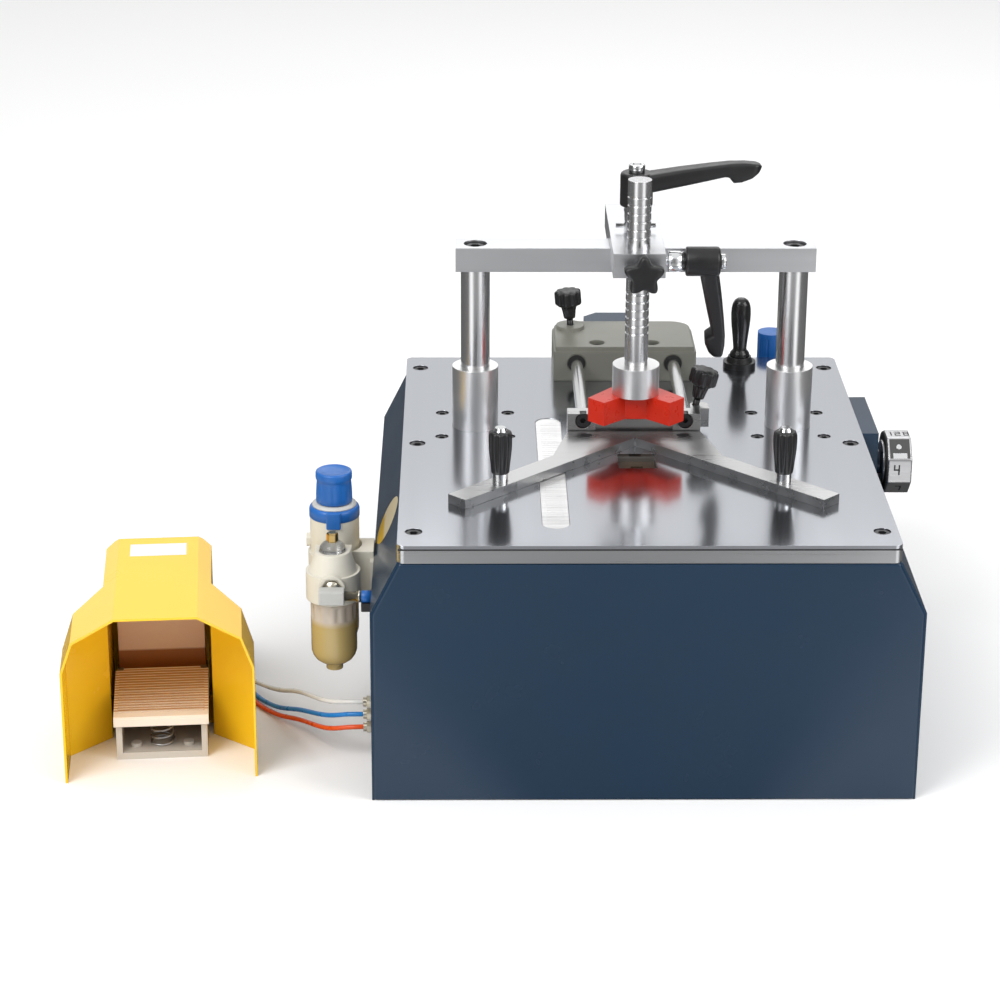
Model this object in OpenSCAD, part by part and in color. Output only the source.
// Picture frame underpinner: a bench machine that clamps two mitred mouldings against a
// right-angled fence and drives V-shaped nails up into the joint from below.
// Origin: centre of the cabinet's base. +X right, +Y back, +Z up. Millimetres.

/* [Cabinet] */
// Width of the cabinet across its side walls
cab_w = 444; // [430:1:480]
// Depth of the cabinet and of the table
cab_d = 460; // [450:1:480]
// Height at which the side walls fold inwards
shoulder_z = 166; // [150:1:176]
// Height of the folded shell, where the table sits
shell_top = 210; // [205:1:220]
// Thickness of the folded sheet
sheet_t = 2; // [1.5:0.1:3]
// Thickness of the base plate
base_t = 6; // [4:0.5:8]
// Width of the flange that carries the table
flange_w = 28; // [24:1:34]

/* [Table] */
// Width of the table plate
table_w = 400; // [396:1:410]
// Thickness of the steel table plate
plate_t = 12; // [10:0.5:14]
// Thickness of the polished cover sheet
cover_t = 3; // [2:0.5:4]
// Corner radius of the table
table_r = 6; // [3:0.5:12]
// Width of the nail window
window_w = 32; // [28:1:36]
// Depth of the nail window
window_d = 35; // [30:1:38]
// Place of the nail window's centre, from the table's centre
window_y = -42; // [-46:0.5:-40]
// Width of the scale inlay
scale_w = 22; // [16:1:26]
// Length of the scale inlay
scale_len = 258; // [200:1:280]
// Distance of the scale inlay from the middle of the table
scale_x = -73; // [-80:1:-66]

/* [Posts and beam] */
// Distance of each post's axis in from the table's side edge
post_in = 63; // [58:1:70]
// Place of the posts behind the table's centre
post_y = 48; // [44:0.5:56]
// Diameter of the posts
post_d = 25; // [22:0.5:28]
// Diameter of the post sleeves
sleeve_d = 40; // [36:1:44]
// Height of the sleeves above the table
sleeve_h = 55; // [45:1:65]
// Height of the cross beam's underside above the table
beam_rise = 144; // [135:1:160]
// Width of the cross beam, front to back
beam_w = 30; // [26:1:34]
// Height of the cross beam
beam_h = 21; // [18:0.5:25]
// Length of the cross beam beyond each post
beam_over = 17; // [14:1:22]
// Upward travel of the bridge from its lowest place
bridge_travel = 30; // [20:1:40]

/* [Clamp arm] */
// Width of the slotted clamp arm
arm_w = 44; // [40:1:48]
// Height of the clamp arm
arm_h = 21; // [20:0.5:24]
// Length of the clamp arm
arm_len = 154; // [150:1:170]
// Distance from the arm's front face to the clamp rod
rod_inset = 19; // [17:0.5:22]
// Place of the clamp rod behind the table's centre
rod_y = 2; // [0:0.5:6]
// Diameter of the clamp rod
rod_d = 20; // [18:0.5:22]
// Height of the clamp rod's top above the arm
rod_head = 59; // [50:1:70]
// Diameter of the collar on the clamp rod
collar_d = 40; // [36:1:46]
// Height of the collar
collar_h = 26; // [20:0.5:32]
// Height of the pressure pad
pad_h = 21; // [18:0.5:24]
// Half width of the pressure pad
pad_half = 41; // [38:0.5:44]
// Height of the pad's underside above the table
pad_rise = 25; // [24:0.5:32]
// Gap between the pad and the bar below it
pad_gap = 1.5; // [1:0.1:4]

/* [Fence] */
// Length of each fence arm along its inner edge
fence_len = 206; // [190:1:212]
// Width of the fence bars
fence_w = 20; // [17:0.5:22]
// Thickness of the fence bars
fence_t = 8; // [7:0.5:10]
// Place of the fence's inner corner behind the table's centre
fence_y = -7; // [-10:0.5:-5]
// Half distance between the guide rods
guide_x = 44; // [42:0.5:46]
// Diameter of the guide rods
guide_d = 11; // [9:0.5:12]
// Height of the guide rods above the table
guide_rise = 17; // [15.5:0.5:19]
// Half length of the front bar
bar_half = 57.5; // [56:0.5:60]
// Depth of the front bar
bar_w = 15; // [13:0.5:17]
// Height of the front bar
bar_h = 17; // [16:0.5:19]
// Height of the fence grips
grip_h = 36; // [32:1:44]

/* [Guide casting] */
// Width of the guide casting
cast_w = 130; // [124:1:136]
// Height of the guide casting
cast_h = 32; // [29:0.5:36]
// Depth of the guide casting
cast_d = 80; // [70:1:88]
// Distance of the casting's front face ahead of the table's back edge
cast_in = 67; // [62:1:72]

/* [Air unit] */
// Distance of the air unit's axis outside the cabinet's side wall
unit_out = 33; // [32:0.5:38]
// Distance of the lubricator's axis behind the table's front edge
oiler_in = 95; // [92:1:100]
// Distance between the lubricator and the regulator
unit_pitch = 43; // [42:0.5:46]
// Diameter of the bowls
bowl_d = 38.6; // [36:0.2:40]
// Length of the bowls
bowl_h = 66; // [56:1:72]
// Diameter of the regulator knob
reg_knob_d = 30.5; // [26:0.5:32]

/* [Pedal] */
// Distance of the pedal's front edge from the cabinet's middle
pedal_x = -400; // [-410:1:-394]
// Place of the pedal's front edge, from the table's centre
pedal_y = -152; // [-158:1:-146]
// Turn of the pedal, seen from above
pedal_turn = 4.5; // [3:0.5:7]
// Width of the pedal's base
pedal_w = 76; // [72:1:80]
// Length of the pedal's base
pedal_len = 128; // [124:1:132]
// Height of the pedal's base
pedal_h = 30; // [28:1:34]
// Height of the foot guard
guard_h = 146; // [135:1:155]
// Width of the foot guard
guard_w = 158; // [150:1:164]
// Thickness of the guard's sheet
guard_t = 2; // [1.5:0.1:3]

/* [Fits] */
// Radial clearance of a sliding or turning fit
run_fit = 0.05; // [0.02:0.01:0.1]
// Gap between parts that move past each other
slide_gap = 0.1; // [0.1:0.05:0.3]
// Radial clearance of a screw in its hole
screw_fit = 0.15; // [0.1:0.05:0.4]

/* [Hidden] */
$fn = 48;

side_x = cab_w / 2;
half_d = cab_d / 2;
half_t = table_w / 2;
post_x = half_t - post_in;
cast_y = half_d - cast_in;
oiler_y = -half_d + oiler_in;
plate_z = shell_top;
cover_z = plate_z + plate_t;
top_z = cover_z + cover_t;
eps = 0.01;

// ---------- shared shapes ----------

// A flat plate with rounded corners, centred, standing on z = 0.
module round_plate(w, d, h, r) {
    linear_extrude(h) {
        square([w - 2 * r, d], center = true);
        square([w, d - 2 * r], center = true);
        for (sx = [-1, 1], sy = [-1, 1])
            translate([sx * (w / 2 - r), sy * (d / 2 - r)]) circle(r);
    }
}

// A socket head screw, head up, its head's top at z = 0.
module cap_screw(d, head_d, head_h, length) {
    difference() {
        union() {
            translate([0, 0, -head_h]) cylinder(d = head_d, h = head_h);
            translate([0, 0, -head_h - length]) cylinder(d = d, h = length + eps);
        }
        translate([0, 0, -head_h * 0.6]) cylinder(d = d * 0.9, h = head_h, $fn = 6);
    }
}

// The clearance hole and counterbore that a cap screw sits in.
module cap_hole(d, head_d, head_h, length) {
    translate([0, 0, -head_h]) cylinder(d = head_d, h = head_h + 1);
    translate([0, 0, -head_h - length]) cylinder(d = d + 2 * screw_fit, h = length + eps);
}

// A fluted clamping knob, its axis along z, its underside at z = 0.
module fluted_knob(d, h, flutes) {
    cylinder(d1 = d * 0.42, d2 = d * 0.56, h = h * 0.5);
    translate([0, 0, h * 0.45]) difference() {
        cylinder(d = d, h = h * 0.55);
        for (i = [0 : flutes - 1])
            rotate([0, 0, i * 360 / flutes]) translate([d * 0.53, 0, -1]) cylinder(d = d * 0.16, h = h);
    }
}

// Rows of points joined into one closed tube skin: rings of the same count, capped at both ends.
module tube_skin(rings) {
    n = len(rings[0]);
    m = len(rings);
    points = [for (ring = rings) for (p = ring) p];
    sides = [for (i = [0 : m - 2]) for (j = [0 : n - 1]) let (k = (j + 1) % n)
        each [[i * n + j, i * n + k, (i + 1) * n + k], [i * n + j, (i + 1) * n + k, (i + 1) * n + j]]];
    caps = [[for (j = [n - 1 : -1 : 0]) j], [for (j = [0 : n - 1]) (m - 1) * n + j]];
    polyhedron(points, concat(sides, caps));
}

function unit(v) = v / norm(v);

// Direction of a polyline at point i, averaged over its neighbours.
function heading(path, i) =
    unit(path[min(i + 1, len(path) - 1)] - path[max(i - 1, 0)]);

// A ring of n points round point p, square to direction t, starting level with the ground.
function ring_at(p, t, r, n) =
    let (side = norm(cross(t, [0, 0, 1])) > 0.01 ? unit(cross(t, [0, 0, 1])) : [1, 0, 0],
        up = cross(side, t))
    [for (j = [0 : n - 1]) let (a = 360 * (j + 0.5) / n) p + r * (cos(a) * side + sin(a) * up)];

// Rings along a path, the first and last square to given directions.
function tube_rings(path, r, n, first, last) =
    [for (i = [0 : len(path) - 1])
        ring_at(path[i], i == 0 ? first : i == len(path) - 1 ? last : heading(path, i), r, n)];

// A smooth curve through hand-placed points, with a number of steps in each span.
function smooth_point(a, b, c, d, t) =
    0.5 * (2 * b + (c - a) * t + (2 * a - 5 * b + 4 * c - d) * t * t + (3 * b - 3 * c + d - a) * t * t * t);
function smooth_path(pts, steps) =
    let (last = len(pts) - 1)
    [for (i = [0 : last - 1]) for (s = [0 : steps - 1])
        smooth_point(pts[max(i - 1, 0)], pts[i], pts[i + 1], pts[min(i + 2, last)], s / steps),
        pts[last]];

// ---------- cabinet ----------

// Outline of the folded shell seen from the front, drawn in by a wall thickness.
fold_slope = (side_x - half_t) / (shell_top - shoulder_z);
fold_wall = sqrt(1 + fold_slope * fold_slope);
module shell_outline(inset, low, high) {
    polygon([
        [-side_x + inset, low], [side_x - inset, low],
        [side_x - inset, shoulder_z],
        [side_x - fold_slope * (high - shoulder_z) - inset * fold_wall, high],
        [-side_x + fold_slope * (high - shoulder_z) + inset * fold_wall, high],
        [-side_x + inset, shoulder_z]]);
}

// Extrudes a front view from y0 back to y1.
module extrude_back(y0, y1) {
    translate([0, y1, 0]) rotate([90, 0, 0]) linear_extrude(y1 - y0) children();
}

unit_x = -side_x - unit_out;
reg_y = oiler_y + unit_pitch;
port_z = 157;
fitting_y = -half_d + 75;
fitting_z = [53.5, 42, 30.5];
fitting_d = 9;
air_port_y = oiler_y - 31;
air_port_z = port_z - 3;
air_port_d = 8;
dial_y = 50;
dial_z = top_z - 35.5;
spindle_d = 10;
flange_inset_x = half_t - flange_w;
screw_x = half_t - 13;
row_in = 30;
screw_rows = [-half_d + row_in, 1, half_d - row_in];

module cabinet_shell() {
    color([0.1, 0.17, 0.26]) difference() {
        extrude_back(-half_d, half_d) shell_outline(0, 0, shell_top);
        extrude_back(-half_d + sheet_t, half_d + 1) shell_outline(sheet_t, -1, shell_top - sheet_t);
        translate([-flange_inset_x, -half_d + flange_w, shell_top - sheet_t - 1])
            cube([2 * flange_inset_x, cab_d, sheet_t + 2]);
        for (z = fitting_z) translate([-side_x - 1, fitting_y, z]) rotate([0, 90, 0])
            cylinder(d = fitting_d + 2 * screw_fit, h = sheet_t + 2);
        translate([-side_x - 1, air_port_y, air_port_z]) rotate([0, 90, 0])
            cylinder(d = air_port_d + 2 * screw_fit, h = sheet_t + 2);
        translate([side_x - 40, dial_y, dial_z]) rotate([0, 90, 0])
            cylinder(d = spindle_d + 4, h = 45);
        for (sx = [-1, 1], y = screw_rows) translate([sx * screw_x, y, shell_top - sheet_t - 1])
            cylinder(d = plate_screw_d + 2 * screw_fit, h = sheet_t + 2);
    }
}

module rear_cover() {
    color([0.1, 0.17, 0.26])
        extrude_back(half_d - sheet_t, half_d)
            shell_outline(sheet_t + 0.3, base_t, shell_top - sheet_t - 0.3);
}

module base_plate() {
    color([0.45, 0.46, 0.48])
        translate([-side_x + sheet_t, -half_d + sheet_t, 0])
            cube([cab_w - 2 * sheet_t, cab_d - sheet_t, base_t]);
}

// ---------- table ----------

plate_screw_d = 8;
plate_head_d = 13;
plate_head_h = 8;
plate_screw_len = 14;
sleeve_screw_d = 6;
sleeve_head_d = 10;
sleeve_head_h = 6;
sleeve_screw_len = 18;
sleeve_dx = 29;
sleeve_dy = 30;
joystick_x = 109;
joystick_y = half_d - 24;
joystick_hole = 22;
scale_y = -half_d + 36 + scale_len / 2;
casting_screws = [for (s = [-1, 1]) [s * 25, cast_y + 15]];
casting_screw_d = 8;

module at_plate_screws() {
    for (sx = [-1, 1], y = screw_rows) translate([sx * screw_x, y, top_z - 1]) children();
}

module at_sleeve_screws() {
    for (px = [-1, 1], sx = [-1, 1], sy = [-1, 1])
        translate([px * post_x + sx * sleeve_dx, post_y + sy * sleeve_dy, top_z - 1]) children();
}

module table_holes() {
    at_plate_screws() cap_hole(plate_screw_d, plate_head_d + 1, plate_head_h, 20);
    at_sleeve_screws() cap_hole(sleeve_screw_d, sleeve_head_d + 1.5, sleeve_head_h, 20);
    for (sx = [-1, 1]) translate([sx * post_x, post_y, plate_z - 1])
        cylinder(d = sleeve_d + 2 * screw_fit, h = plate_t + cover_t + 2);
    translate([-window_w / 2, window_y - window_d / 2, plate_z - 1])
        cube([window_w, window_d, plate_t + cover_t + 2]);
    translate([joystick_x, joystick_y, plate_z - 1])
        cylinder(d = joystick_hole, h = plate_t + cover_t + 2);
    for (p = casting_screws) translate([p[0], p[1], plate_z - 1])
        cylinder(d = casting_screw_d + 2 * screw_fit, h = plate_t + cover_t + 2);
}

// Outline of the scale inlay: a strip with round ends, grown by a margin.
module scale_outline(margin) {
    r = scale_w / 2 + margin;
    span = scale_len - scale_w;
    square([2 * r, span], center = true);
    for (s = [-1, 1]) translate([0, s * span / 2]) circle(r);
}

module table_plate() {
    color([0.62, 0.63, 0.65]) difference() {
        translate([0, 0, plate_z]) round_plate(table_w, cab_d, plate_t, table_r);
        table_holes();
    }
}

module cover_sheet() {
    color([0.72, 0.74, 0.77]) difference() {
        translate([0, 0, cover_z]) round_plate(table_w, cab_d, cover_t, table_r);
        table_holes();
        translate([scale_x, scale_y, cover_z - 1]) linear_extrude(cover_t + 2) scale_outline(0.2);
    }
}

module table_screws() {
    color([0.15, 0.15, 0.16]) {
        at_plate_screws() cap_screw(plate_screw_d, plate_head_d, plate_head_h, plate_screw_len);
        at_sleeve_screws() cap_screw(sleeve_screw_d, sleeve_head_d, sleeve_head_h, sleeve_screw_len);
        for (p = casting_screws) translate([p[0], p[1], top_z + cast_h - 4])
            cap_screw(casting_screw_d, 13, 8, cast_h - 14 + plate_t + cover_t);
    }
}

module scale_strip() {
    tick = 5;
    color([0.93, 0.93, 0.9]) difference() {
        translate([scale_x, scale_y, cover_z]) linear_extrude(cover_t - 0.6) scale_outline(0);
        for (y = [-scale_len / 2 + scale_w / 2 : tick : scale_len / 2 - scale_w / 2])
            translate([scale_x - scale_w * 0.32, scale_y + y, cover_z + cover_t - 0.9])
                cube([scale_w * 0.64, 0.6, 1]);
    }
}

// ---------- sleeves, posts and beam ----------

flange_x = 68;
flange_y = 78;
flange_h = 12;
bore_d = 50;
bore_floor = base_t + 6;
piston_h = 10;
piston_z = bore_floor + 0.5;
piston_rod_d = 16;
cap_h = 10;
yoke_w = 30;
yoke_h = 20;
yoke_z = bore_floor + piston_h + bridge_travel + cap_h + 22;
post_foot_z = yoke_z + yoke_h;
beam_z = top_z + beam_rise;
beam_len = 2 * (post_x + beam_over);
beam_screw_d = 10;
beam_screw_len = 32;

module at_posts() {
    for (sx = [-1, 1]) translate([sx * post_x, post_y, 0]) children();
}

module post_sleeves() {
    color([0.78, 0.79, 0.8]) difference() {
        at_posts() {
            translate([0, 0, plate_z - flange_h])
                cylinder(d = sleeve_d, h = top_z - plate_z + flange_h + sleeve_h);
            translate([-flange_x / 2, -flange_y / 2, plate_z - flange_h])
                cube([flange_x, flange_y, flange_h]);
        }
        at_posts() translate([0, 0, plate_z - flange_h - 1])
            cylinder(d = post_d + 2 * run_fit, h = flange_h + top_z - plate_z + sleeve_h + 2);
        at_sleeve_screws() translate([0, 0, -sleeve_head_h - 30])
            cylinder(d = sleeve_screw_d + 2 * screw_fit, h = 30);
    }
}

module posts() {
    color([0.85, 0.86, 0.88]) difference() {
        at_posts() translate([0, 0, post_foot_z]) cylinder(d = post_d, h = beam_z - post_foot_z);
        at_posts() {
            translate([0, 0, beam_z - 26]) cylinder(d = beam_screw_d + 2 * screw_fit, h = 27);
            translate([0, 0, post_foot_z - 1]) cylinder(d = beam_screw_d + 2 * screw_fit, h = 27);
        }
    }
}

arm_z = beam_z + 10;
stud_d = 12;

module cross_beam() {
    color([0.76, 0.77, 0.78]) difference() {
        translate([-beam_len / 2, post_y - beam_w / 2, beam_z]) cube([beam_len, beam_w, beam_h]);
        at_posts() {
            translate([0, 0, beam_z - 1]) cylinder(d = beam_screw_d + 2 * screw_fit, h = beam_h + 2);
            translate([0, 0, beam_z + beam_h - 10]) cylinder(d = 20, h = 11);
        }
        translate([-arm_w / 2 - slide_gap, post_y - beam_w / 2 - 1, arm_z - slide_gap])
            cube([arm_w + 2 * slide_gap, beam_w + 2, beam_h]);
        translate([0, post_y, beam_z - 1]) cylinder(d = stud_d + 2 * run_fit, h = beam_h);
    }
}

module bridge_yoke() {
    color([0.5, 0.51, 0.53]) difference() {
        union() {
            translate([-beam_len / 2, post_y - yoke_w / 2, yoke_z]) cube([beam_len, yoke_w, yoke_h]);
            translate([0, post_y, piston_z]) cylinder(d = piston_rod_d, h = yoke_z - piston_z + eps);
            translate([0, post_y, piston_z]) cylinder(d = bore_d - 2 * run_fit, h = piston_h);
        }
        at_posts() {
            translate([0, 0, yoke_z - 1]) cylinder(d = beam_screw_d + 2 * screw_fit, h = yoke_h + 2);
            translate([0, 0, yoke_z - 1]) cylinder(d = 18, h = 9);
        }
    }
}

module bridge_screws() {
    color([0.16, 0.16, 0.17]) at_posts() {
        translate([0, 0, beam_z + beam_h - 2]) cap_screw(beam_screw_d, 16, 8, beam_screw_len);
        translate([0, 0, yoke_z]) rotate([180, 0, 0]) cap_screw(beam_screw_d, 16, 8, beam_screw_len);
    }
}

// ---------- clamp arm, levers and rod ----------

arm_front = rod_y - rod_inset;
slot_front = post_y - 16;
slot_back = arm_front + arm_len - 17;
rod_lever_z = arm_z + 9;
star_x = 3;
star_z = arm_z + 6.5;
star_stud_d = 8;
rod_foot_z = top_z + pad_rise + pad_h;
rod_top_z = arm_z + arm_h + rod_head;

module clamp_arm() {
    slot_w = stud_d + 0.6;
    color([0.8, 0.81, 0.83]) difference() {
        translate([-arm_w / 2, arm_front, arm_z]) cube([arm_w, arm_len, arm_h]);
        translate([-slot_w / 2, slot_front, arm_z - 1]) cube([slot_w, slot_back - slot_front, arm_h + 2]);
        for (y = [slot_front, slot_back]) translate([0, y, arm_z - 1]) cylinder(d = slot_w, h = arm_h + 2);
        translate([0, rod_y, arm_z - 1]) cylinder(d = rod_d + 2 * run_fit, h = arm_h + 2);
        translate([0, rod_y, rod_lever_z]) rotate([0, 90, 0])
            cylinder(d = star_stud_d + 2 * run_fit, h = arm_w);
        translate([star_x, rod_y, star_z]) rotate([90, 0, 0])
            cylinder(d = star_stud_d + 2 * run_fit, h = rod_inset + 1);
    }
}

// A cranked clamping handle: hub round z, tapered arm along +x that rises to a hooked tip. Its
// side view is given in shares of its length and of its hub's height.
module crank_arm(length, hub_d, hub_h, tip_w) {
    side = [[0, 0.43], [0.13, 0.44], [0.73, 0.9], [0.78, 0.7], [0.92, 0.83], [0.98, 1.02], [1, 1.17],
        [0.97, 1.28], [0.84, 1.32], [0.66, 1.28], [0.07, 0.97], [0, 0.97]];
    root_w = hub_d * 0.84;
    cylinder(d = hub_d, h = hub_h);
    intersection() {
        rotate([90, 0, 0]) linear_extrude(hub_d, center = true)
            polygon([for (p = side) [p[0] * length, p[1] * hub_h]]);
        linear_extrude(hub_h * 2) {
            polygon([[0, root_w / 2], [0, -root_w / 2], [length - tip_w / 2, -tip_w / 2],
                [length - tip_w / 2, tip_w / 2]]);
            translate([length - tip_w / 2, 0]) circle(d = tip_w);
        }
    }
}

// The end of a handle's stud: a nut with a hexagon socket, standing on z = 0.
module socket_nut(d, h) {
    difference() {
        cylinder(d = d, h = h);
        translate([0, 0, h / 2]) cylinder(d = d / 2, h = h, $fn = 6);
    }
}

lever_rise = 24;
lever_hub_z = arm_z + arm_h + lever_rise;
lever_len = 106;
lever_hub_d = 28;
lever_hub_h = 29;
lever_tip_w = 14;
lever_pin_d = 4;

module arm_lock_lever() {
    color([0.1, 0.1, 0.11]) translate([0, post_y, lever_hub_z])
        crank_arm(lever_len, lever_hub_d, lever_hub_h, lever_tip_w);
    color([0.8, 0.81, 0.83]) translate([0, post_y, 0]) {
        translate([0, 0, arm_z + arm_h + slide_gap]) cylinder(d = 20, h = lever_rise - slide_gap + eps);
        translate([0, 0, beam_z + 1]) cylinder(d = stud_d, h = lever_hub_z - beam_z);
        translate([0, 0, lever_hub_z + lever_hub_h - eps]) socket_nut(14, 7);
        translate([0, 0, arm_z + arm_h + 6]) rotate([0, 90, 0])
            cylinder(d = lever_pin_d, h = 34, center = true);
    }
}

side_hub_x = arm_w / 2 + 18;
side_hub_d = 25;
side_swing = 23;

module rod_lock_lever() {
    color([0.1, 0.1, 0.11]) translate([side_hub_x, rod_y, rod_lever_z]) rotate([0, 90, 0])
        rotate([0, 0, side_swing]) crank_arm(lever_len, side_hub_d, lever_hub_h, lever_tip_w);
    color([0.75, 0.76, 0.78]) translate([0, rod_y, rod_lever_z]) rotate([0, 90, 0]) {
        translate([0, 0, arm_w / 2 + 3]) cylinder(d = 18, h = side_hub_x - arm_w / 2 - 3 + eps);
        translate([0, 0, rod_d / 2 + 0.6]) cylinder(d = star_stud_d, h = arm_w / 2 - rod_d / 2 + 3);
        translate([0, 0, side_hub_x + lever_hub_h - eps]) socket_nut(13, 5);
    }
}

module rod_star_knob() {
    knob_r = 17.5;
    lobes = 5;
    stand = 7;
    stud_reach = stand + rod_inset - rod_d / 2 - 0.6;
    color([0.12, 0.12, 0.13]) translate([star_x, arm_front - stand, star_z]) rotate([90, 0, 0]) {
        difference() {
            cylinder(r = knob_r, h = 13);
            for (i = [0 : lobes - 1]) rotate([0, 0, 90 + (i + 0.5) * 360 / lobes])
                translate([knob_r * 1.16, 0, -1]) cylinder(r = knob_r * 0.46, h = 15);
        }
        translate([0, 0, -4]) cylinder(d1 = 11, d2 = 16, h = 4 + eps);
        translate([0, 0, -stud_reach]) cylinder(d = star_stud_d, h = stud_reach);
    }
}

groove_pitch = 7;

module clamp_rod() {
    color([0.86, 0.87, 0.89]) translate([0, rod_y, 0]) difference() {
        translate([0, 0, rod_foot_z]) cylinder(d = rod_d, h = rod_top_z - rod_foot_z);
        for (i = [0 : 5]) for (z = [rod_top_z - 14 - i * groove_pitch, arm_z - 18 - i * groove_pitch])
            translate([0, 0, z]) rotate_extrude() translate([rod_d / 2, 0]) circle(r = 1, $fn = 16);
        translate([0, 0, rod_foot_z - 1]) cylinder(d = 8 + 2 * screw_fit, h = 25);
    }
}

module rod_collar() {
    color([0.83, 0.84, 0.86]) translate([0, rod_y, rod_foot_z]) difference() {
        cylinder(d = collar_d, h = collar_h);
        translate([0, 0, -1]) cylinder(d = rod_d, h = collar_h + 2);
    }
}

// The pad: a shallow bow tie, so that it can press on both mitred mouldings at once.
module pressure_pad() {
    deep = pad_half * 0.66;
    outline = [[deep / 3, -deep / 3], [pad_half * 0.68, -deep], [pad_half, -deep / 2], [deep / 2, deep * 0.8],
        [0, deep]];
    mirrored = [for (i = [len(outline) - 2 : -1 : 0]) [-outline[i][0], outline[i][1]]];
    color([0.85, 0.14, 0.05]) translate([0, rod_y, rod_foot_z - pad_h]) difference() {
        union() {
            linear_extrude(pad_h) polygon(concat(outline, mirrored));
            translate([0, 0, pad_h - 1]) cylinder(d = 8, h = 18);
        }
        translate([0, 0, -1]) cylinder(d = 14, h = 5);
    }
}

// ---------- fence and its guide ----------

fence_z = top_z + slide_gap;
web_back = fence_y + 15;
bar_front = web_back + 2;
guide_z = top_z + guide_rise;
bar_low = top_z + pad_rise - pad_gap - bar_h;
lock_stud_d = 6;
lock_stud_in = 11;
lug_d = 16;
lug_x = guide_x + guide_d / 2 + lug_d / 2 + 0.3;
lug_y = bar_front + bar_w + 9;
left_knob_x = -cast_w / 2 + 17;
left_knob_y = cast_y + cast_d - 21;
left_lean = 5;
right_lean = 14;
seal_d = 16;
foot_t = 3.5;
guide_back = cast_y + cast_d + 10;
grip_x = 117;
grip_y = fence_y - grip_x + fence_w * 0.7;
grip_d = 20;
grip_screw_d = 8;
fence_screw_x = 41.5;
fence_screw_y = web_back - 9;
bar_screw_d = 6;
bar_head_d = 12.5;
bar_head_h = 7;
foot_reach = 15.7;

// The fence's outline: two arms at 45 degrees with square ends, and a web behind the corner.
module fence_outline() {
    c = fence_len * cos(45);
    w = fence_w * cos(45);
    polygon([[0, fence_y], [c, fence_y - c], [c + w, fence_y - c + w], [fence_w * sqrt(2) / 2 + bar_half,
        fence_y + w - bar_half], [bar_half, web_back], [-bar_half, web_back],
        [-bar_half - w, fence_y + w - bar_half], [-c - w, fence_y - c + w], [-c, fence_y - c]]);
}

module fence() {
    color([0.7, 0.71, 0.73]) difference() {
        translate([0, 0, fence_z]) linear_extrude(fence_t) fence_outline();
        translate([-bar_half - 1, web_back - foot_reach - 0.3, fence_z - 1])
            cube([2 * bar_half + 2, 20, foot_t + 1]);
        for (s = [-1, 1]) {
            translate([s * grip_x, grip_y, fence_z - 1])
                cylinder(d = grip_screw_d + 2 * run_fit, h = fence_t + 2);
            translate([s * fence_screw_x, fence_screw_y, fence_z - 1])
                cylinder(d = 5 + 2 * screw_fit, h = fence_t + 2);
            translate([s * fence_screw_x, fence_screw_y, fence_z + fence_t - 2.7])
                cylinder(d1 = 5.3, d2 = 10.7, h = 2.71);
        }
    }
}

module front_bar() {
    color([0.45, 0.46, 0.48]) difference() {
        union() {
            translate([-bar_half, bar_front + 3, bar_low]) cube([2 * bar_half, bar_w - 3, bar_h]);
            for (s = [-1, 1]) translate([s * (bar_half - 12) - 12, bar_front, bar_low])
                cube([24, bar_w, bar_h]);
            translate([-bar_half, web_back - foot_reach, fence_z])
                cube([2 * bar_half, foot_reach + bar_w, foot_t]);
            translate([-bar_half, bar_front + 3, fence_z])
                cube([2 * bar_half, bar_w - 3, bar_low - fence_z + eps]);
            translate([lug_x, lug_y, bar_low]) cylinder(d = lug_d, h = bar_h);
            translate([lug_x - lug_d / 2, bar_front + bar_w - 1, bar_low])
                cube([lug_d, lug_y - bar_front - bar_w + 1, bar_h]);
        }
        for (s = [-1, 1]) {
            translate([s * guide_x, bar_front - 1, guide_z]) rotate([-90, 0, 0])
                cylinder(d = bar_screw_d + 2 * screw_fit, h = bar_w + 2);
            translate([s * guide_x, bar_front - 1, guide_z]) rotate([-90, 0, 0])
                cylinder(d = bar_head_d + 1.5, h = bar_head_h + 2);
            translate([s * fence_screw_x, fence_screw_y, fence_z - 1])
                cylinder(d = 5 + 2 * screw_fit, h = foot_t + 1);
        }
        at_right_knob() translate([0, 0, -14]) cylinder(d = lock_stud_d + 2 * run_fit, h = 20);
    }
}

module guide_rods() {
    y0 = bar_front + bar_w;
    color([0.86, 0.87, 0.88]) for (s = [-1, 1]) translate([s * guide_x, y0, guide_z]) rotate([-90, 0, 0])
        difference() {
            cylinder(d = guide_d, h = guide_back - y0);
            translate([0, 0, -1]) cylinder(d = bar_screw_d + 2 * screw_fit, h = 20);
        }
}

module fence_screws() {
    color([0.13, 0.13, 0.14]) {
        for (s = [-1, 1]) translate([s * guide_x, bar_front + 1, guide_z]) rotate([90, 0, 0])
            cap_screw(bar_screw_d, bar_head_d, bar_head_h, bar_w + 6);
        for (s = [-1, 1]) translate([s * fence_screw_x, fence_screw_y, 0]) {
            translate([0, 0, fence_z + 0.2]) cylinder(d = 5, h = fence_t - 2.9);
            translate([0, 0, fence_z + fence_t - 2.7]) cylinder(d1 = 5, d2 = 10.4, h = 2.6);
        }
    }
}

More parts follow.
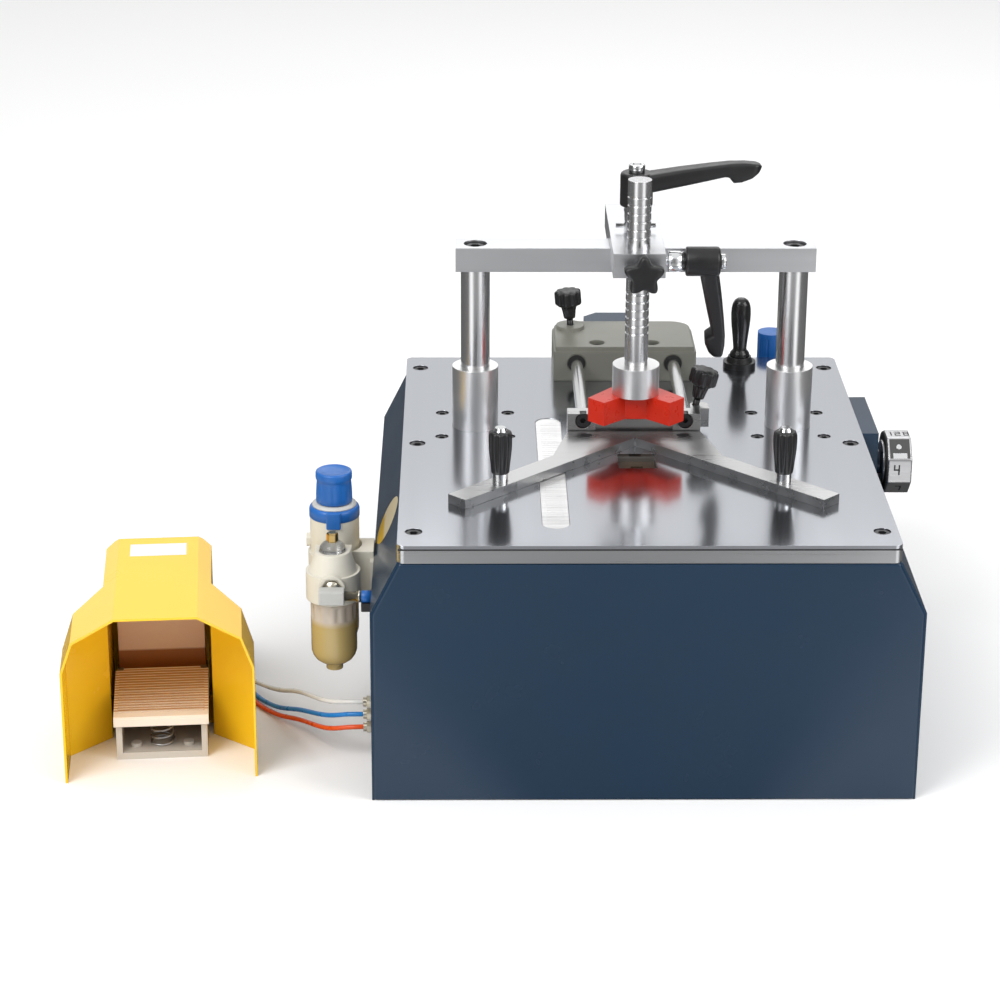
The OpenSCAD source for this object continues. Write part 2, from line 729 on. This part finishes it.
module fence_grips() {
    flutes = 10;
    z = fence_z + fence_t + 8;
    waist = grip_h * 0.4;
    color([0.09, 0.09, 0.1]) for (s = [-1, 1]) translate([s * grip_x, grip_y, z]) difference() {
        union() {
            cylinder(d1 = grip_d - 5, d2 = grip_d - 3, h = waist);
            translate([0, 0, waist]) difference() {
                cylinder(d = grip_d, h = grip_h - waist - 3);
                for (i = [0 : flutes - 1]) rotate([0, 0, i * 360 / flutes])
                    translate([grip_d / 2 + 0.7, 0, -1]) cylinder(d = 3.4, h = grip_h);
            }
            translate([0, 0, grip_h - 3]) cylinder(d1 = grip_d - 2, d2 = grip_d - 5, h = 3);
        }
        translate([0, 0, -1]) cylinder(d = grip_screw_d + 2 * run_fit, h = grip_h + 2);
    }
}

module grip_studs() {
    color([0.82, 0.83, 0.85]) for (s = [-1, 1]) translate([s * grip_x, grip_y, fence_z]) {
        translate([0, 0, 0.3]) cylinder(d = grip_screw_d, h = fence_t + 8 + grip_h);
        translate([0, 0, fence_t]) cylinder(d = 13, h = 7.7);
        translate([0, 0, fence_t + 8 + grip_h + 0.3]) cylinder(d1 = 12, d2 = 9, h = 3);
    }
}

module guide_casting() {
    r = 18;
    edge = 4;
    color([0.56, 0.55, 0.52]) difference() {
        union() {
            translate([0, cast_y + cast_d / 2, top_z]) linear_extrude(cast_h - edge) cast_outline(0, r);
            translate([0, cast_y + cast_d / 2, top_z + cast_h - edge]) linear_extrude(edge)
                cast_outline(2, r);
            translate([left_knob_x, left_knob_y, top_z]) cylinder(d = 26, h = cast_h + 3);
        }
        for (s = [-1, 1]) {
            translate([s * guide_x, cast_y - 1, guide_z]) rotate([-90, 0, 0])
                cylinder(d = guide_d + 2 * run_fit, h = cast_d + 2);
            translate([s * guide_x, cast_y - 1, guide_z]) rotate([-90, 0, 0]) cylinder(d = seal_d, h = 5);
        }
        for (p = casting_screws) {
            translate([p[0], p[1], top_z - 1]) cylinder(d = casting_screw_d + 2 * screw_fit, h = cast_h + 2);
            translate([p[0], p[1], top_z + cast_h - 12]) cylinder(d = 14, h = 13);
        }
        at_left_knob() translate([0, 0, -lock_stud_in - 2]) cylinder(d = lock_stud_d + 2 * run_fit, h = 20);
    }
}

module cast_outline(inset, r) {
    w = cast_w - 2 * inset;
    d = cast_d - 2 * inset;
    translate([-w / 2, -d / 2]) square([w, d - r]);
    translate([-w / 2 + r, -d / 2]) square([w - 2 * r, d]);
    for (s = [-1, 1]) translate([s * (w / 2 - r), d / 2 - r]) circle(r);
}

module rod_seals() {
    color([0.07, 0.07, 0.07]) for (s = [-1, 1]) translate([s * guide_x, cast_y - 0.6, guide_z])
        rotate([-90, 0, 0]) difference() {
            cylinder(d = seal_d, h = 4.6);
            translate([0, 0, -1]) cylinder(d = guide_d + 2 * run_fit, h = 7);
        }
}

// The two lock knobs lean outwards; these put a child on each one's axis, at its seat.
module at_left_knob() {
    translate([left_knob_x, left_knob_y, top_z + cast_h + 3]) rotate([0, -left_lean, 0]) children();
}

module at_right_knob() {
    translate([lug_x - 3, lug_y, bar_low + bar_h]) rotate([0, right_lean, 0]) children();
}

module lock_knob() {
    stand = 7;
    translate([0, 0, -lock_stud_in]) cylinder(d = lock_stud_d, h = lock_stud_in + stand + 1);
    translate([0, 0, stand]) fluted_knob(25, 26, 9);
}

module left_lock_knob() {
    color([0.1, 0.1, 0.11]) at_left_knob() lock_knob();
}

module right_lock_knob() {
    color([0.1, 0.1, 0.11]) at_right_knob() lock_knob();
}

// ---------- housings, dial, hand valve ----------

housing_out = max(side_x - half_t - 7, 12);
housing_front = 27;
housing_back = 122;
housing_low = 182;
dial_d = 56;
dial_w = 21.5;
dial_neck_d = dial_d - 18;
dial_in_x = half_t + housing_out + 9;

module rear_housing() {
    w = 54;
    d = 90;
    c = 12;
    high = top_z + 15;
    color([0.12, 0.18, 0.27]) translate([-5, half_d, 0]) difference() {
        translate([0, 0, 60]) linear_extrude(high - 60)
            polygon([[-w / 2, 0], [w / 2, 0], [w / 2, d - c], [w / 2 - c, d], [-w / 2 + c, d],
                [-w / 2, d - c]]);
        translate([-w / 2 + 3, -1, 63]) cube([w - 6, d - c, top_z - 4 - 63]);
        translate([-w / 2 - 1, -1, top_z - 0.3]) cube([w + 2, cast_y + cast_d + 0.3 - half_d + 1, high]);
    }
}

// The space outside the right wall of the shell and of the table.
module right_of_shell() {
    extrude_back(-half_d, half_d) polygon([
        [half_t + 0.2, top_z], [half_t + 0.2, shell_top], [half_t, shell_top], [side_x, shoulder_z],
        [side_x, 0], [side_x + 60, 0], [side_x + 60, top_z]]);
}

module selector_housing() {
    color([0.12, 0.18, 0.28]) difference() {
        union() {
            intersection() {
                translate([half_t - 30, housing_front, housing_low])
                    cube([30 + housing_out, housing_back - housing_front, top_z - 1 - housing_low]);
                right_of_shell();
            }
            intersection() {
                translate([half_t, dial_y, dial_z]) rotate([0, 90, 0]) cylinder(d = 22, h = housing_out + 5);
                right_of_shell();
            }
        }
        translate([half_t - 40, dial_y, dial_z]) rotate([0, 90, 0])
            cylinder(d = spindle_d + 2 * run_fit, h = housing_out + 50);
    }
}

module selector_dial() {
    faces = 8;
    face_turn = 180 / faces;
    color([0.74, 0.75, 0.76]) translate([0, dial_y, dial_z]) rotate([0, 90, 0]) difference() {
        union() {
            translate([0, 0, half_t - 30]) cylinder(d = spindle_d, h = dial_in_x - half_t + 32);
            translate([0, 0, dial_in_x - 3.5]) cylinder(d = dial_neck_d, h = 4);
            translate([0, 0, dial_in_x]) rotate([0, 0, face_turn])
                cylinder(d = dial_d, h = dial_w, $fn = faces);
        }
        for (i = [0 : faces - 1]) rotate([0, 0, i * 360 / faces])
            translate([dial_d / 2 * cos(face_turn), 0, dial_in_x + dial_w / 2]) rotate([0, 90, 0])
                cylinder(d = 5, h = 4, center = true);
    }
}

rear_knob_x = side_x - 79;
rear_knob_y = half_d + 25;
rear_knob_d = 25;
rear_body_top = top_z - 22;

module rear_regulator() {
    color([0.3, 0.31, 0.33]) difference() {
        union() {
            translate([rear_knob_x, rear_knob_y, rear_body_top - 48]) cylinder(d = 34, h = 48);
            translate([rear_knob_x - 15, half_d, rear_body_top - 44]) cube([30, 22, 34]);
        }
        translate([rear_knob_x, rear_knob_y, rear_body_top - 20]) cylinder(d = 8 + 2 * run_fit, h = 21);
    }
}

module rear_regulator_knob() {
    color([0.06, 0.3, 0.7]) translate([rear_knob_x, rear_knob_y, rear_body_top + 0.4]) {
        difference() {
            cylinder(d = rear_knob_d, h = 39);
            for (i = [0 : 9]) rotate([0, 0, i * 36]) translate([rear_knob_d / 2 + 0.8, 0, 6])
                cylinder(d = 3, h = 28);
        }
        translate([0, 0, -16]) cylinder(d = 8, h = 17);
    }
}

joystick_d = 30;
pivot_z = top_z + 12;

module joystick_base() {
    color([0.1, 0.1, 0.11]) translate([joystick_x, joystick_y, 0]) difference() {
        union() {
            translate([0, 0, top_z]) cylinder(d = joystick_d, h = 5);
            translate([0, 0, top_z + 5]) cylinder(d1 = joystick_d - 6, d2 = joystick_d - 9, h = 5);
            translate([0, 0, plate_z - 40]) cylinder(d = joystick_hole - 1, h = 40 + top_z - plate_z + eps);
        }
        translate([0, 0, pivot_z]) sphere(d = 19);
    }
}

module joystick_handle() {
    color([0.09, 0.09, 0.1]) translate([joystick_x, joystick_y, 0]) {
        translate([0, 0, pivot_z]) sphere(d = 18.2);
        translate([0, 0, pivot_z + 6]) cylinder(d1 = 14, d2 = 10, h = 10);
        translate([0, 0, pivot_z + 15]) cylinder(d1 = 11, d2 = 18, h = 14);
        translate([0, 0, pivot_z + 29]) cylinder(d = 18, h = 16);
        translate([0, 0, pivot_z + 45]) sphere(d = 18);
    }
}

// ---------- air unit on the left wall ----------

bowl_top = 141;
collar_ring_d = 45;
collar_top = 165;
oiler_top = 182;
reg_top = 196;

module unit_bracket() {
    color([0.8, 0.79, 0.74]) difference() {
        union() {
            translate([-side_x - 3, reg_y - 26, bowl_top - 23]) cube([3, 48, 46]);
            translate([-side_x - unit_out + 10, reg_y - 18, bowl_top - 7]) cube([unit_out - 10.2, 30, 36]);
        }
        translate([unit_x, reg_y, 100]) cylinder(d = collar_ring_d, h = 100);
    }
}

module regulator_body() {
    color([0.84, 0.82, 0.76]) difference() {
        union() {
            translate([unit_x, reg_y, bowl_top]) cylinder(d = collar_ring_d, h = collar_top - bowl_top);
            translate([unit_x, reg_y, collar_top - eps]) cylinder(d = 41, h = reg_top - collar_top + eps);
            translate([unit_x - 23.6, reg_y, port_z + 17]) rotate([0, 90, 0])
                cylinder(d = 12, h = 8, $fn = 6);
        }
        translate([unit_x, reg_y, bowl_top - 1]) cylinder(d = bowl_d + 0.2, h = 9);
        translate([unit_x, reg_y, reg_top - 20]) cylinder(d = 8 + 2 * run_fit, h = 50);
        translate([unit_x - 30, reg_y - unit_pitch / 2 - 10, bowl_top - 1]) cube([60, 10, 80]);
    }
}

module regulator_ring() {
    color([0.06, 0.25, 0.62]) translate([unit_x, reg_y, reg_top]) difference() {
        union() {
            cylinder(d = 42, h = 10);
            translate([-6, -22.5, -5]) cube([12, 10, 15]);
            translate([0, 0, 10 - eps]) cylinder(d = 33, h = 2.4);
        }
        translate([0, 0, -6]) cylinder(d = 26, h = 20);
        translate([-30, -20.6, -6]) cube([60, 60, 6]);
    }
}

module regulator_knob() {
    color([0.06, 0.32, 0.75]) translate([unit_x, reg_y, reg_top + 12.8]) {
        difference() {
            union() {
                cylinder(d = reg_knob_d, h = 14);
                translate([0, 0, 14 - eps]) cylinder(d = reg_knob_d - 1.6, h = 6 + 2 * eps);
                translate([0, 0, 20]) cylinder(d = reg_knob_d - 0.4, h = 7.4);
            }
            translate([0, 0, 25.6]) cylinder(d = reg_knob_d - 5, h = 2);
        }
        translate([0, 0, -30]) cylinder(d = 8, h = 30 + eps);
    }
}

module lubricator_body() {
    color([0.85, 0.83, 0.77]) difference() {
        union() {
            translate([unit_x, oiler_y, bowl_top]) cylinder(d = collar_ring_d, h = collar_top - bowl_top);
            translate([unit_x, oiler_y, collar_top - eps])
                cylinder(d1 = 40, d2 = 29, h = oiler_top - collar_top);
            translate([unit_x, oiler_y, port_z]) rotate([90, 0, 0]) cylinder(d = 22, h = 24);
            translate([unit_x - 15, oiler_y, bowl_top + 4])
                cube([30, unit_pitch / 2, oiler_top - bowl_top - 8]);
        }
        translate([unit_x, oiler_y, bowl_top - 1]) cylinder(d = bowl_d + 0.2, h = 9);
        translate([unit_x, oiler_y, oiler_top - 4]) cylinder(d = 22, h = 5);
        translate([unit_x, oiler_y - 22, port_z]) rotate([90, 0, 0]) cylinder(d = 19, h = 3, $fn = 6);
        translate([unit_x - 30, oiler_y + unit_pitch / 2, bowl_top - 1]) cube([60, 10, 80]);
    }
}

module sight_dome() {
    color([0.88, 0.88, 0.86, 0.5]) translate([unit_x, oiler_y, oiler_top - 4]) {
        cylinder(d = 21.6, h = 6);
        translate([0, 0, 6 - eps]) cylinder(d1 = 20, d2 = 15, h = 5 + eps);
        translate([0, 0, 11]) cylinder(d = 10, h = 9);
    }
}

module air_bowls() {
    round_r = 13;
    color([0.75, 0.6, 0.3, 0.6]) for (y = [oiler_y, reg_y]) translate([unit_x, y, 0]) {
        rotate_extrude() difference() {
            union() {
                translate([0, bowl_top + 7 - bowl_h + round_r]) square([bowl_d / 2, bowl_h - round_r]);
                translate([0, bowl_top + 7 - bowl_h]) square([bowl_d / 2 - round_r, round_r + 1]);
                intersection() {
                    translate([bowl_d / 2 - round_r, bowl_top + 7 - bowl_h + round_r]) circle(round_r);
                    translate([0, 0]) square([bowl_d, bowl_top]);
                }
            }
            translate([-1, bowl_top + 10 - bowl_h]) square([bowl_d / 2 - 1.5 - round_r / 2, bowl_h]);
            translate([-1, bowl_top + 10 - bowl_h + round_r]) square([bowl_d / 2 - 1.5, bowl_h]);
        }
        translate([0, 0, bowl_top + 1 - bowl_h]) cylinder(d = 14, h = 6 + eps);
    }
}

module outlet_elbow() {
    y = oiler_y - 24;
    color([0.72, 0.71, 0.68]) {
        translate([unit_x, y + 2, port_z]) rotate([90, 0, 0]) cylinder(d = 14, h = 9);
        translate([unit_x, y - 7, port_z - 3]) cube([21, 12, 12], center = true);
        translate([unit_x + 10, y - 7, port_z - 3]) rotate([0, 90, 0])
            cylinder(d = 8, h = -side_x - 9 - unit_x - 10);
    }
    color([0.05, 0.3, 0.65]) translate([-side_x - 9, y - 7, port_z - 3]) rotate([0, 90, 0]) {
        cylinder(d = 10, h = 9);
        cylinder(d = air_port_d, h = 20);
    }
    color([0.1, 0.1, 0.1]) {
        translate([-side_x - 9, y - 7 - 5, port_z - 15]) cube([9, 10, 8]);
    }
}

// ---------- tube fittings and tubes ----------

tube_d = 4;
fitting_len = 9;
port_gap = 12;
port_x = 8;
port_len = 10;
pedal_port_z = 24;
function pedal_point(x, y, z) = [
    pedal_x + x * cos(pedal_turn) - y * sin(pedal_turn),
    pedal_y + x * sin(pedal_turn) + y * cos(pedal_turn), z];
module on_pedal() {
    translate([pedal_x, pedal_y, 0]) rotate([0, 0, pedal_turn]) children();
}

module tube_fittings() {
    color([0.7, 0.68, 0.62]) {
        for (z = fitting_z) translate([-side_x - fitting_len, fitting_y, z]) rotate([0, 90, 0]) {
            cylinder(d = fitting_d - 1, h = 3);
            translate([0, 0, 3 - eps]) cylinder(d = fitting_d + 2, h = 3.5, $fn = 6);
            translate([0, 0, 6.5 - eps]) cylinder(d = fitting_d + 1, h = 2.5);
            translate([0, 0, 9 - eps]) cylinder(d = fitting_d, h = 12);
            translate([0, 0, 9 + sheet_t]) cylinder(d = fitting_d + 3, h = 3, $fn = 6);
        }
        on_pedal() for (s = [-1, 0, 1]) translate([port_x + s * port_gap, pedal_len, pedal_port_z])
            rotate([-90, 0, 0]) {
            cylinder(d = 10, h = 4, $fn = 6);
            translate([0, 0, 4 - eps]) cylinder(d = 8, h = port_len - 4);
        }
    }
}

coil_mean = 22.2;
coil_turns = 5.5;
turn_gap = 4.5;
layer_gap = 4.5;
coil_x = -378;
coil_y = 40;
coil_steps = 24;
coil_low = [2.1, 11.1, 20.1];
coil_reach = turn_gap * coil_turns / 4;
coil_out = coil_mean + coil_reach;

// A round coil that spirals in, climbs a layer where it turns back, and spirals out again.
// It starts at its outer edge on the +x side heading +y and ends on the -x side heading -y.
function coil_path(low) =
    let (steps = coil_turns * coil_steps)
    concat([[coil_x + coil_out, coil_y - tube_d, low]],
        [for (i = [0 : steps]) let (
            u = i / steps,
            a = 360 * coil_turns * u,
            climb = min(max(coil_turns * (2 * u - 1) + 0.5, 0), 1),
            r = coil_mean + coil_reach * (4 * abs(u - 0.5) - 1))
            [coil_x + r * cos(a), coil_y + r * sin(a), low + layer_gap * climb]],
        [[coil_x - coil_out, coil_y - tube_d, low + layer_gap]]);

// Hand-placed points of each tube between its bulkhead fitting and its coil.
white_out = [[-243, -154, 53], [-263, -139, 47], [-287, -100, 36.5], [-310, -58, 19], [-333, -18, 9],
    [-344, 4, 12], [-349, 20, 17]];
blue_out = [[-243, -154, 41.5], [-263, -142, 35], [-287, -103, 21], [-309, -72, 9], [-329, -40, 4.5],
    [-343, -8, 7], [-349, 18, 10]];
red_out = [[-243, -155, 30], [-263, -144, 24], [-287, -104, 12], [-308, -78, 4.5], [-328, -50, 2.1],
    [-343, -14, 2.1], [-350, 12, 2.1]];
// Hand-placed points between each coil and its port on the pedal.
white_back = [[-406, 24, 25], [-400, 8, 25]];
blue_back = [[-406, 24, 18], [-405, 8, 23]];
red_back = [[-407, 24, 9], [-413, 8, 20]];

// A free stretch from the bulkhead fitting at height z to the start of the coil at height low.
module tube_in(points, z, low) {
    path = concat([[-side_x - fitting_len, fitting_y, z]], points,
        [[coil_x + coil_out, coil_y - 2 * tube_d, low], [coil_x + coil_out, coil_y - tube_d, low]]);
    tube_skin(tube_rings(smooth_path(path, 2), tube_d / 2, 8, [-1, 0, 0], [0, 1, 0]));
}

// A free stretch from the end of the coil at height z to port number s on the pedal.
module tube_back(points, z, s) {
    x = port_x + s * port_gap;
    back = pedal_len + port_len;
    path = concat(
        [[coil_x - coil_out, coil_y - tube_d, z], [coil_x - coil_out, coil_y - 2 * tube_d, z]], points,
        [pedal_point(x, back + tube_d, pedal_port_z), pedal_point(x, back, pedal_port_z)]);
    tube_skin(tube_rings(smooth_path(path, 2), tube_d / 2, 8, [0, -1, 0], [sin(pedal_turn),
        -cos(pedal_turn), 0]));
}

module white_tube() {
    color([0.93, 0.93, 0.92]) {
        tube_in(white_out, fitting_z[0], coil_low[2]);
        tube_back(white_back, coil_low[2] + layer_gap, 1);
    }
}

module blue_tube() {
    color([0.05, 0.4, 0.75]) {
        tube_in(blue_out, fitting_z[1], coil_low[1]);
        tube_back(blue_back, coil_low[1] + layer_gap, 0);
    }
}

module red_tube() {
    color([0.9, 0.3, 0.1]) {
        tube_in(red_out, fitting_z[2], coil_low[0]);
        tube_back(red_back, coil_low[0] + layer_gap, -1);
    }
}

module tube_coils() {
    color([0.6, 0.6, 0.65]) for (low = coil_low)
        tube_skin(tube_rings(coil_path(low), tube_d / 2, 6, [0, 1, 0], [0, -1, 0]));
}

// Least gap between a coil and itself, measured between points more than a quarter turn apart.
coil_points = coil_path(coil_low[0]);
coil_gap = min([for (i = [0 : len(coil_points) - 1])
    for (j = [i + coil_steps / 4 : len(coil_points) - 1]) norm(coil_points[i] - coil_points[j])]) - tube_d;
echo(least_gap_in_a_coil = coil_gap);

// ---------- cylinders, magazine and hammer ----------

cylinder_d = 62;
hammer_travel = 30;
driver_rod_d = 18;
blade = 10;
mag_low = plate_z - 24;
channel_z = plate_z - 19;
channel_h = 15;
channel_w = 12.4;
mag_end = 150;
hammer_top = channel_z - 0.5;
driver_rod_len = 120;
driver_rod_z = piston_z + piston_h;

// A closed air cylinder standing on the base plate, for a piston of a given travel.
module air_cylinder(travel, rod_d) {
    inside = piston_h + travel + 2;
    difference() {
        translate([0, 0, base_t]) cylinder(d = cylinder_d, h = bore_floor - base_t + inside + cap_h);
        translate([0, 0, bore_floor]) cylinder(d = bore_d, h = inside);
        translate([0, 0, bore_floor]) cylinder(d = rod_d + 2 * run_fit, h = inside + cap_h + 1);
    }
}

module air_cylinders() {
    color([0.68, 0.69, 0.71]) {
        translate([0, post_y, 0]) air_cylinder(bridge_travel, piston_rod_d);
        translate([0, window_y, 0]) air_cylinder(hammer_travel, driver_rod_d);
    }
}

module nail_magazine() {
    head_w = window_w - 0.6;
    head_d = window_d - 0.6;
    head_h = plate_t - 4;
    color([0.42, 0.36, 0.3]) difference() {
        union() {
            translate([-head_w / 2, window_y - head_d / 2, plate_z - eps]) cube([head_w, head_d, head_h]);
            translate([-30, window_y - 28, mag_low]) cube([60, 56, plate_z - mag_low]);
            translate([-mag_end, window_y - 12, mag_low]) cube([mag_end, 24, plate_z - mag_low]);
        }
        translate([-blade / 2 - 0.2, window_y - blade / 2 - 0.2, mag_low - 1])
            cube([blade + 0.4, blade + 0.4, 60]);
        translate([-mag_end - 1, window_y - channel_w / 2, channel_z])
            cube([mag_end + 1, channel_w, channel_h]);
    }
}

module nail_pusher() {
    color([0.7, 0.58, 0.3]) translate([0, window_y, channel_z + channel_h / 2]) {
        translate([-110, -channel_w / 2 + 0.2, -channel_h / 2 + 0.2])
            cube([14, channel_w - 0.4, channel_h - 0.4]);
        translate([-mag_end - 12, 0, 0]) rotate([0, 90, 0]) cylinder(d = 5, h = mag_end - 96);
        translate([-mag_end - 16, 0, 0]) rotate([0, 90, 0]) cylinder(d = 11, h = 5);
    }
}

module nail_hammer() {
    color([0.6, 0.6, 0.62]) translate([0, window_y, 0]) {
        translate([0, 0, piston_z]) cylinder(d = bore_d - 2 * run_fit, h = piston_h);
        translate([0, 0, driver_rod_z - eps]) cylinder(d = driver_rod_d, h = driver_rod_len);
        translate([-blade / 2, -blade / 2, driver_rod_z + driver_rod_len - 1])
            cube([blade, blade, hammer_top - driver_rod_z - driver_rod_len + 1]);
    }
}

// ---------- foot pedal ----------

pedal_wall = 5;
pedal_floor = 6;
hinge_y = 78;
hinge_z = 40;
hinge_d = 12;
pin_d = 6;
treadle_w = 79;
treadle_front_z = 40.5;
treadle_rise = 10;
treadle_t = 3.5;
spring_y = 20;
spring_d = 19;
spring_wire = 2;
spring_curls = 6;
valve_front = 86;
valve_low = pedal_h + 0.4;
valve_top = 88;

module pedal_base() {
    half = pedal_w / 2;
    color([0.84, 0.81, 0.74]) on_pedal() difference() {
        union() {
            translate([-half, 0, 0]) cube([pedal_w, pedal_len, pedal_floor]);
            for (s = [-1, 1]) translate([s * (half - pedal_wall / 2) - pedal_wall / 2, 0, 0]) {
                cube([pedal_wall, pedal_len, pedal_h]);
                translate([0, hinge_y - 8, 0]) cube([pedal_wall, 16, hinge_z]);
                translate([0, hinge_y, hinge_z]) rotate([0, 90, 0]) cylinder(d = 16, h = pedal_wall);
            }
            for (s = [-1, 1]) translate([s * 22, 14, pedal_floor - eps]) cylinder(d = 9, h = 3);
        }
        translate([-half - 1, hinge_y, hinge_z]) rotate([0, 90, 0])
            cylinder(d = pin_d + 2 * screw_fit, h = pedal_w + 2);
    }
}

module pedal_valve() {
    low_half = pedal_w / 2 - pedal_wall - 0.3;
    half = pedal_w / 2 - 1;
    face = valve_front + 3;
    color([0.8, 0.77, 0.7]) on_pedal() {
        translate([-low_half, face, pedal_floor])
            cube([2 * low_half, pedal_len - face, valve_low - pedal_floor + 1]);
        translate([-half, face, valve_low]) cube([2 * half, pedal_len - face, valve_top - valve_low]);
    }
}

module treadle() {
    ribs = 17;
    rib_pitch = 3.9;
    lip_z = treadle_front_z - 8;
    slope = treadle_rise / hinge_y;
    color([0.87, 0.83, 0.76]) on_pedal() difference() {
        union() {
            rotate([90, 0, 90]) linear_extrude(treadle_w, center = true) polygon([
                [-5, lip_z], [-1.6, lip_z], [-1.6, treadle_front_z - treadle_t],
                [hinge_y - 6, treadle_front_z + treadle_rise - treadle_t],
                [hinge_y - 6, treadle_front_z + treadle_rise], [-3, treadle_front_z], [-5,
                    treadle_front_z - 2]]);
            for (i = [0 : ribs - 1]) let (y = 4 + i * rib_pitch)
                translate([-36, y, treadle_front_z + slope * y - 0.5]) cube([72, 2, 1.6]);
            translate([0, hinge_y, hinge_z]) rotate([0, 90, 0])
                cylinder(d = hinge_d, h = pedal_w - 2 * pedal_wall - 0.8, center = true);
            translate([-30, hinge_y - 12, hinge_z - 2]) cube([60, 12, 9.5]);
        }
        translate([0, hinge_y, hinge_z]) rotate([0, 90, 0])
            cylinder(d = pin_d + 2 * run_fit, h = treadle_w, center = true);
        for (s = [-1, 1]) translate([s * (pedal_w / 2 - pedal_wall + 9.6), hinge_y + 6, hinge_z])
            cube([20, 30, 60], center = true);
    }
}

module treadle_pin() {
    color([0.75, 0.75, 0.77]) on_pedal() translate([0, hinge_y, hinge_z]) rotate([0, 90, 0])
        cylinder(d = pin_d, h = pedal_w - 1, center = true);
}

// A compression spring: a helix whose first and last curls lie flat.
spring_low = pedal_floor + spring_wire / 2;
spring_front = spring_y - spring_d / 2 - spring_wire;
spring_high = treadle_front_z - treadle_t + spring_front * treadle_rise / hinge_y - spring_wire / 2 - 0.2;
function spring_path() =
    [for (i = [0 : spring_curls * 8]) let (
        u = i / (spring_curls * 8),
        climb = min(max((u * spring_curls - 0.75) / (spring_curls - 1.5), 0), 1))
        [spring_d / 2 * cos(360 * spring_curls * u), spring_y + spring_d / 2 * sin(360 * spring_curls * u),
            spring_low + (spring_high - spring_low) * climb]];

module treadle_spring() {
    path = spring_path();
    last = len(path) - 1;
    color([0.7, 0.7, 0.72]) on_pedal()
        tube_skin(tube_rings(path, spring_wire / 2, 6, heading(path, 0), heading(path, last)));
}

// A polygon, counter-clockwise, with every side moved inwards by d.
function side_normal(a, b) = unit([b[1] - a[1], a[0] - b[0]]);
function inset_points(pts, d) = let (n = len(pts))
    [for (i = [0 : n - 1]) let (
        before = side_normal(pts[(i + n - 1) % n], pts[i]),
        after = side_normal(pts[i], pts[(i + 1) % n]))
        pts[i] - d * (before + after) / (1 + before * after)];

guard_front = -40;
guard_fold = 11;
guard_neck = 43;
guard_back = pedal_len + 4;
guard_box = 45;
tab_gap = 0.2;
tab_w = guard_box - pedal_w / 2 - tab_gap;
tab_front = hinge_y - 14;
tab_len = 50;

function guard_plan(front) = let (w = guard_w / 2, b = guard_box, e = 7)
    [[w, front], [w, guard_fold], [b, guard_neck], [b, guard_back - e], [b - e, guard_back],
        [e - b, guard_back], [-b, guard_back - e], [-b, guard_neck], [-w, guard_fold], [-w, front]];
function guard_profile(low) = let (w = guard_w / 2, h = guard_h)
    [[w, low], [w, h - 47], [w - 9.5, h - 20], [34, h], [-34, h], [9.5 - w, h - 20], [-w, h - 47], [-w, low]];

module guard_solid(inset, front, low) {
    intersection() {
        translate([0, 0, low]) linear_extrude(guard_h + 40) polygon(inset_points(guard_plan(front), inset));
        extrude_back(front, guard_back + 1) polygon(inset_points(guard_profile(low), inset));
    }
}

module pedal_guard() {
    color([0.96, 0.77, 0.15]) on_pedal() {
        difference() {
            guard_solid(0, guard_front, 0);
            guard_solid(guard_t, guard_front - 20, -20);
            translate([port_x - 24, guard_back - 10, -1]) cube([48, 20, 50]);
        }
        for (s = [-1, 1]) translate([s * (guard_box - tab_w / 2) - tab_w / 2, tab_front, 0])
            cube([tab_w, tab_len, guard_t]);
    }
}

cabinet_shell();
rear_cover();
base_plate();
table_plate();
cover_sheet();
table_screws();
scale_strip();
post_sleeves();
guide_casting();
rod_seals();
left_lock_knob();
right_lock_knob();
rear_housing();
selector_housing();
selector_dial();
rear_regulator();
rear_regulator_knob();
joystick_base();
joystick_handle();
unit_bracket();
regulator_body();
regulator_ring();
regulator_knob();
lubricator_body();
sight_dome();
air_bowls();
outlet_elbow();
tube_fittings();
air_cylinders();
nail_magazine();
nail_pusher();
nail_hammer();
posts();
cross_beam();
bridge_yoke();
bridge_screws();
arm_lock_lever();
clamp_arm();
rod_lock_lever();
rod_star_knob();
clamp_rod();
rod_collar();
pressure_pad();
fence();
front_bar();
guide_rods();
fence_screws();
fence_grips();
grip_studs();
pedal_base();
pedal_valve();
treadle();
treadle_pin();
treadle_spring();
pedal_guard();
white_tube();
blue_tube();
red_tube();
tube_coils();
